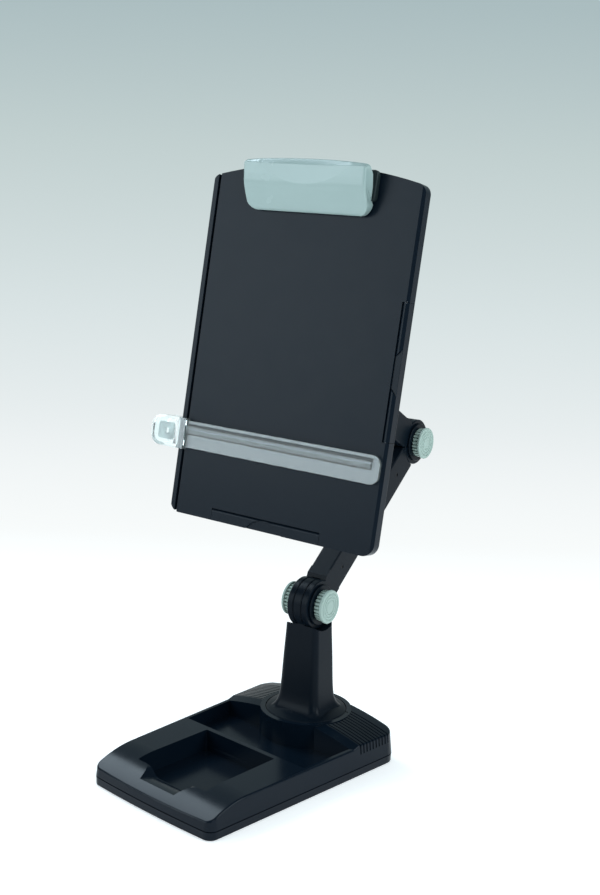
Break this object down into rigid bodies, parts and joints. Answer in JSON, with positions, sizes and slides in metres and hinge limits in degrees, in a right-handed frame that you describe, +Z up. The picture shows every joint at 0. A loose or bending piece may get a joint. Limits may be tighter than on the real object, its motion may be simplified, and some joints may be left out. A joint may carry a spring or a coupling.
{
  "type": "document holder",
  "caption": "Desk document holder: clip board with a clear line guide on two folding arms and a swivel column, over an organizer base with a note tray and a disc-case well.",
  "frame": {"origin": "on the swivel axis of the column, at desk level, at the centre of the round pad under the base", "axes": "+X to the right, +Y to the back and +Z up, seen by a person who reads the board"},
  "size_m": [0.2547, 0.4033, 0.5583],
  "materials": {
    "base_plastic": "fine satin grain, near-black with a blue cast",
    "arm_plastic": "satin moulded plastic, near-black",
    "board_plastic": "satin moulded plastic, near-black with a blue cast",
    "knob_plastic": "matte grey-green plastic",
    "clip_plastic": "satin grey-green plastic with a soft sheen",
    "clip_base_plastic": "dark grey-green plastic",
    "clear_acrylic": "clear polished acrylic",
    "brake_plastic": "pale translucent plastic",
    "bearing_plastic": "slick white bearing plastic",
    "steel": "zinc-plated steel",
    "rubber": "soft matte rubber"
  },
  "bodies": {
    "base": {"base_top_shell": "base_plastic", "base_bottom_shell": "base_plastic", "base_screws": "steel", "ballast_plate": "steel", "ballast_screws": "steel", "rubber_feet": "rubber", "pivot_cover_pad": "rubber", "swivel_slip_ring": "bearing_plastic"},
    "column": {"swivel_column": "arm_plastic", "swivel_retainer": "steel", "swivel_screw": "steel"},
    "lower_arm": {"lower_arm_body": "arm_plastic", "lower_arm_cover": "arm_plastic", "lower_arm_screws": "steel", "lower_friction_caps": "arm_plastic"},
    "upper_arm": {"upper_arm_body": "arm_plastic", "upper_arm_cover": "arm_plastic", "upper_arm_screws": "steel", "middle_friction_caps": "arm_plastic"},
    "head": {"head_bracket": "arm_plastic", "turntable_retainer": "steel", "turntable_screw": "steel", "head_friction_caps": "arm_plastic"},
    "board": {"board_front": "board_plastic", "board_back": "board_plastic", "board_screws": "steel", "bottom_ledge_pin": "steel", "side_ledge_pin": "steel", "clip_base": "clip_base_plastic", "clip_pin": "steel", "clip_springs": "steel"},
    "clip": {"clip_lever": "clip_plastic", "clip_pad": "rubber"},
    "guide": {"guide_bar": "clear_acrylic", "guide_grip": "clear_acrylic", "guide_brake": "brake_plastic"},
    "bottom_ledge": {"bottom_ledge": "board_plastic"},
    "side_ledge": {"side_ledge": "board_plastic"},
    "lower_left_knob": {"lower_knob_left": "knob_plastic", "lower_clamp_bolt": "steel"},
    "lower_right_knob": {"lower_knob_right": "knob_plastic", "lower_clamp_nut": "steel"},
    "middle_left_knob": {"middle_knob_left": "knob_plastic", "middle_clamp_bolt": "steel"},
    "middle_right_knob": {"middle_knob_right": "knob_plastic", "middle_clamp_nut": "steel"},
    "head_left_knob": {"head_knob_left": "knob_plastic", "head_clamp_bolt": "steel"},
    "head_right_knob": {"head_knob_right": "knob_plastic", "head_clamp_nut": "steel"}
  },
  "joints": [
    {"name": "swivel_turn", "type": "hinge", "parent": "base", "child": "column", "pos_m": [0, 0, 0], "axis": [0, 0, 1], "range_deg": [-97, 83]},
    {"name": "lower_arm_tilt", "type": "hinge", "parent": "column", "child": "lower_arm", "pos_m": [0, 0, 0.1442], "axis": [-0.9917, -0.1288, 0], "range_deg": [-72, 33]},
    {"name": "upper_arm_fold", "type": "hinge", "parent": "lower_arm", "child": "upper_arm", "pos_m": [-0.0225, 0.17324, 0.27825], "axis": [-0.9917, -0.1288, 0], "range_deg": [-3, 115]},
    {"name": "board_tilt", "type": "hinge", "parent": "upper_arm", "child": "head", "pos_m": [0.00084, -0.00647, 0.37829], "axis": [-0.9917, -0.1288, 0], "range_deg": [-34, 71]},
    {"name": "board_turn", "type": "hinge", "parent": "head", "child": "board", "pos_m": [0.00574, -0.04417, 0.38438], "axis": [-0.1272, 0.9792, -0.1582], "range_deg": [0, 90]},
    {"name": "guide_slide", "type": "slide", "parent": "board", "child": "guide", "axis": [-0.0031, 0.1591, 0.9873], "range_m": [-0.052, 0.188]},
    {"name": "clip_press", "type": "hinge", "parent": "board", "child": "clip", "pos_m": [0.00286, -0.02959, 0.537], "axis": [-0.9919, -0.126, 0.0172], "range_deg": [0, 14], "stiffness_Nm_per_rad": 0.6, "springref_deg": -28.65},
    {"name": "bottom_ledge_flip", "type": "hinge", "parent": "board", "child": "bottom_ledge", "pos_m": [-0.00038, -0.06661, 0.23391], "axis": [-0.9919, -0.126, 0.0172], "range_deg": [0, 90]},
    {"name": "side_ledge_flip", "type": "hinge", "parent": "board", "child": "side_ledge", "pos_m": [0.10985, -0.02835, 0.38215], "axis": [0.0031, -0.1591, -0.9873], "range_deg": [0, 90]},
    {"name": "lower_left_knob_turn", "type": "hinge", "parent": "lower_arm", "child": "lower_left_knob", "pos_m": [0, 0, 0.1442], "axis": [-0.9917, -0.1288, 0], "range_deg": [-180, 0]},
    {"name": "lower_right_knob_turn", "type": "hinge", "parent": "lower_arm", "child": "lower_right_knob", "pos_m": [0, 0, 0.1442], "axis": [0.9917, 0.1288, 0], "range_deg": [-180, 0]},
    {"name": "middle_left_knob_turn", "type": "hinge", "parent": "upper_arm", "child": "middle_left_knob", "pos_m": [-0.0225, 0.17324, 0.27825], "axis": [-0.9917, -0.1288, 0], "range_deg": [-180, 0]},
    {"name": "middle_right_knob_turn", "type": "hinge", "parent": "upper_arm", "child": "middle_right_knob", "pos_m": [-0.0225, 0.17324, 0.27825], "axis": [0.9917, 0.1288, 0], "range_deg": [-180, 0]},
    {"name": "head_left_knob_turn", "type": "hinge", "parent": "head", "child": "head_left_knob", "pos_m": [0.00084, -0.00647, 0.37829], "axis": [-0.9917, -0.1288, 0], "range_deg": [-180, 0]},
    {"name": "head_right_knob_turn", "type": "hinge", "parent": "head", "child": "head_right_knob", "pos_m": [0.00084, -0.00647, 0.37829], "axis": [0.9917, 0.1288, 0], "range_deg": [-180, 0]}
  ]
}
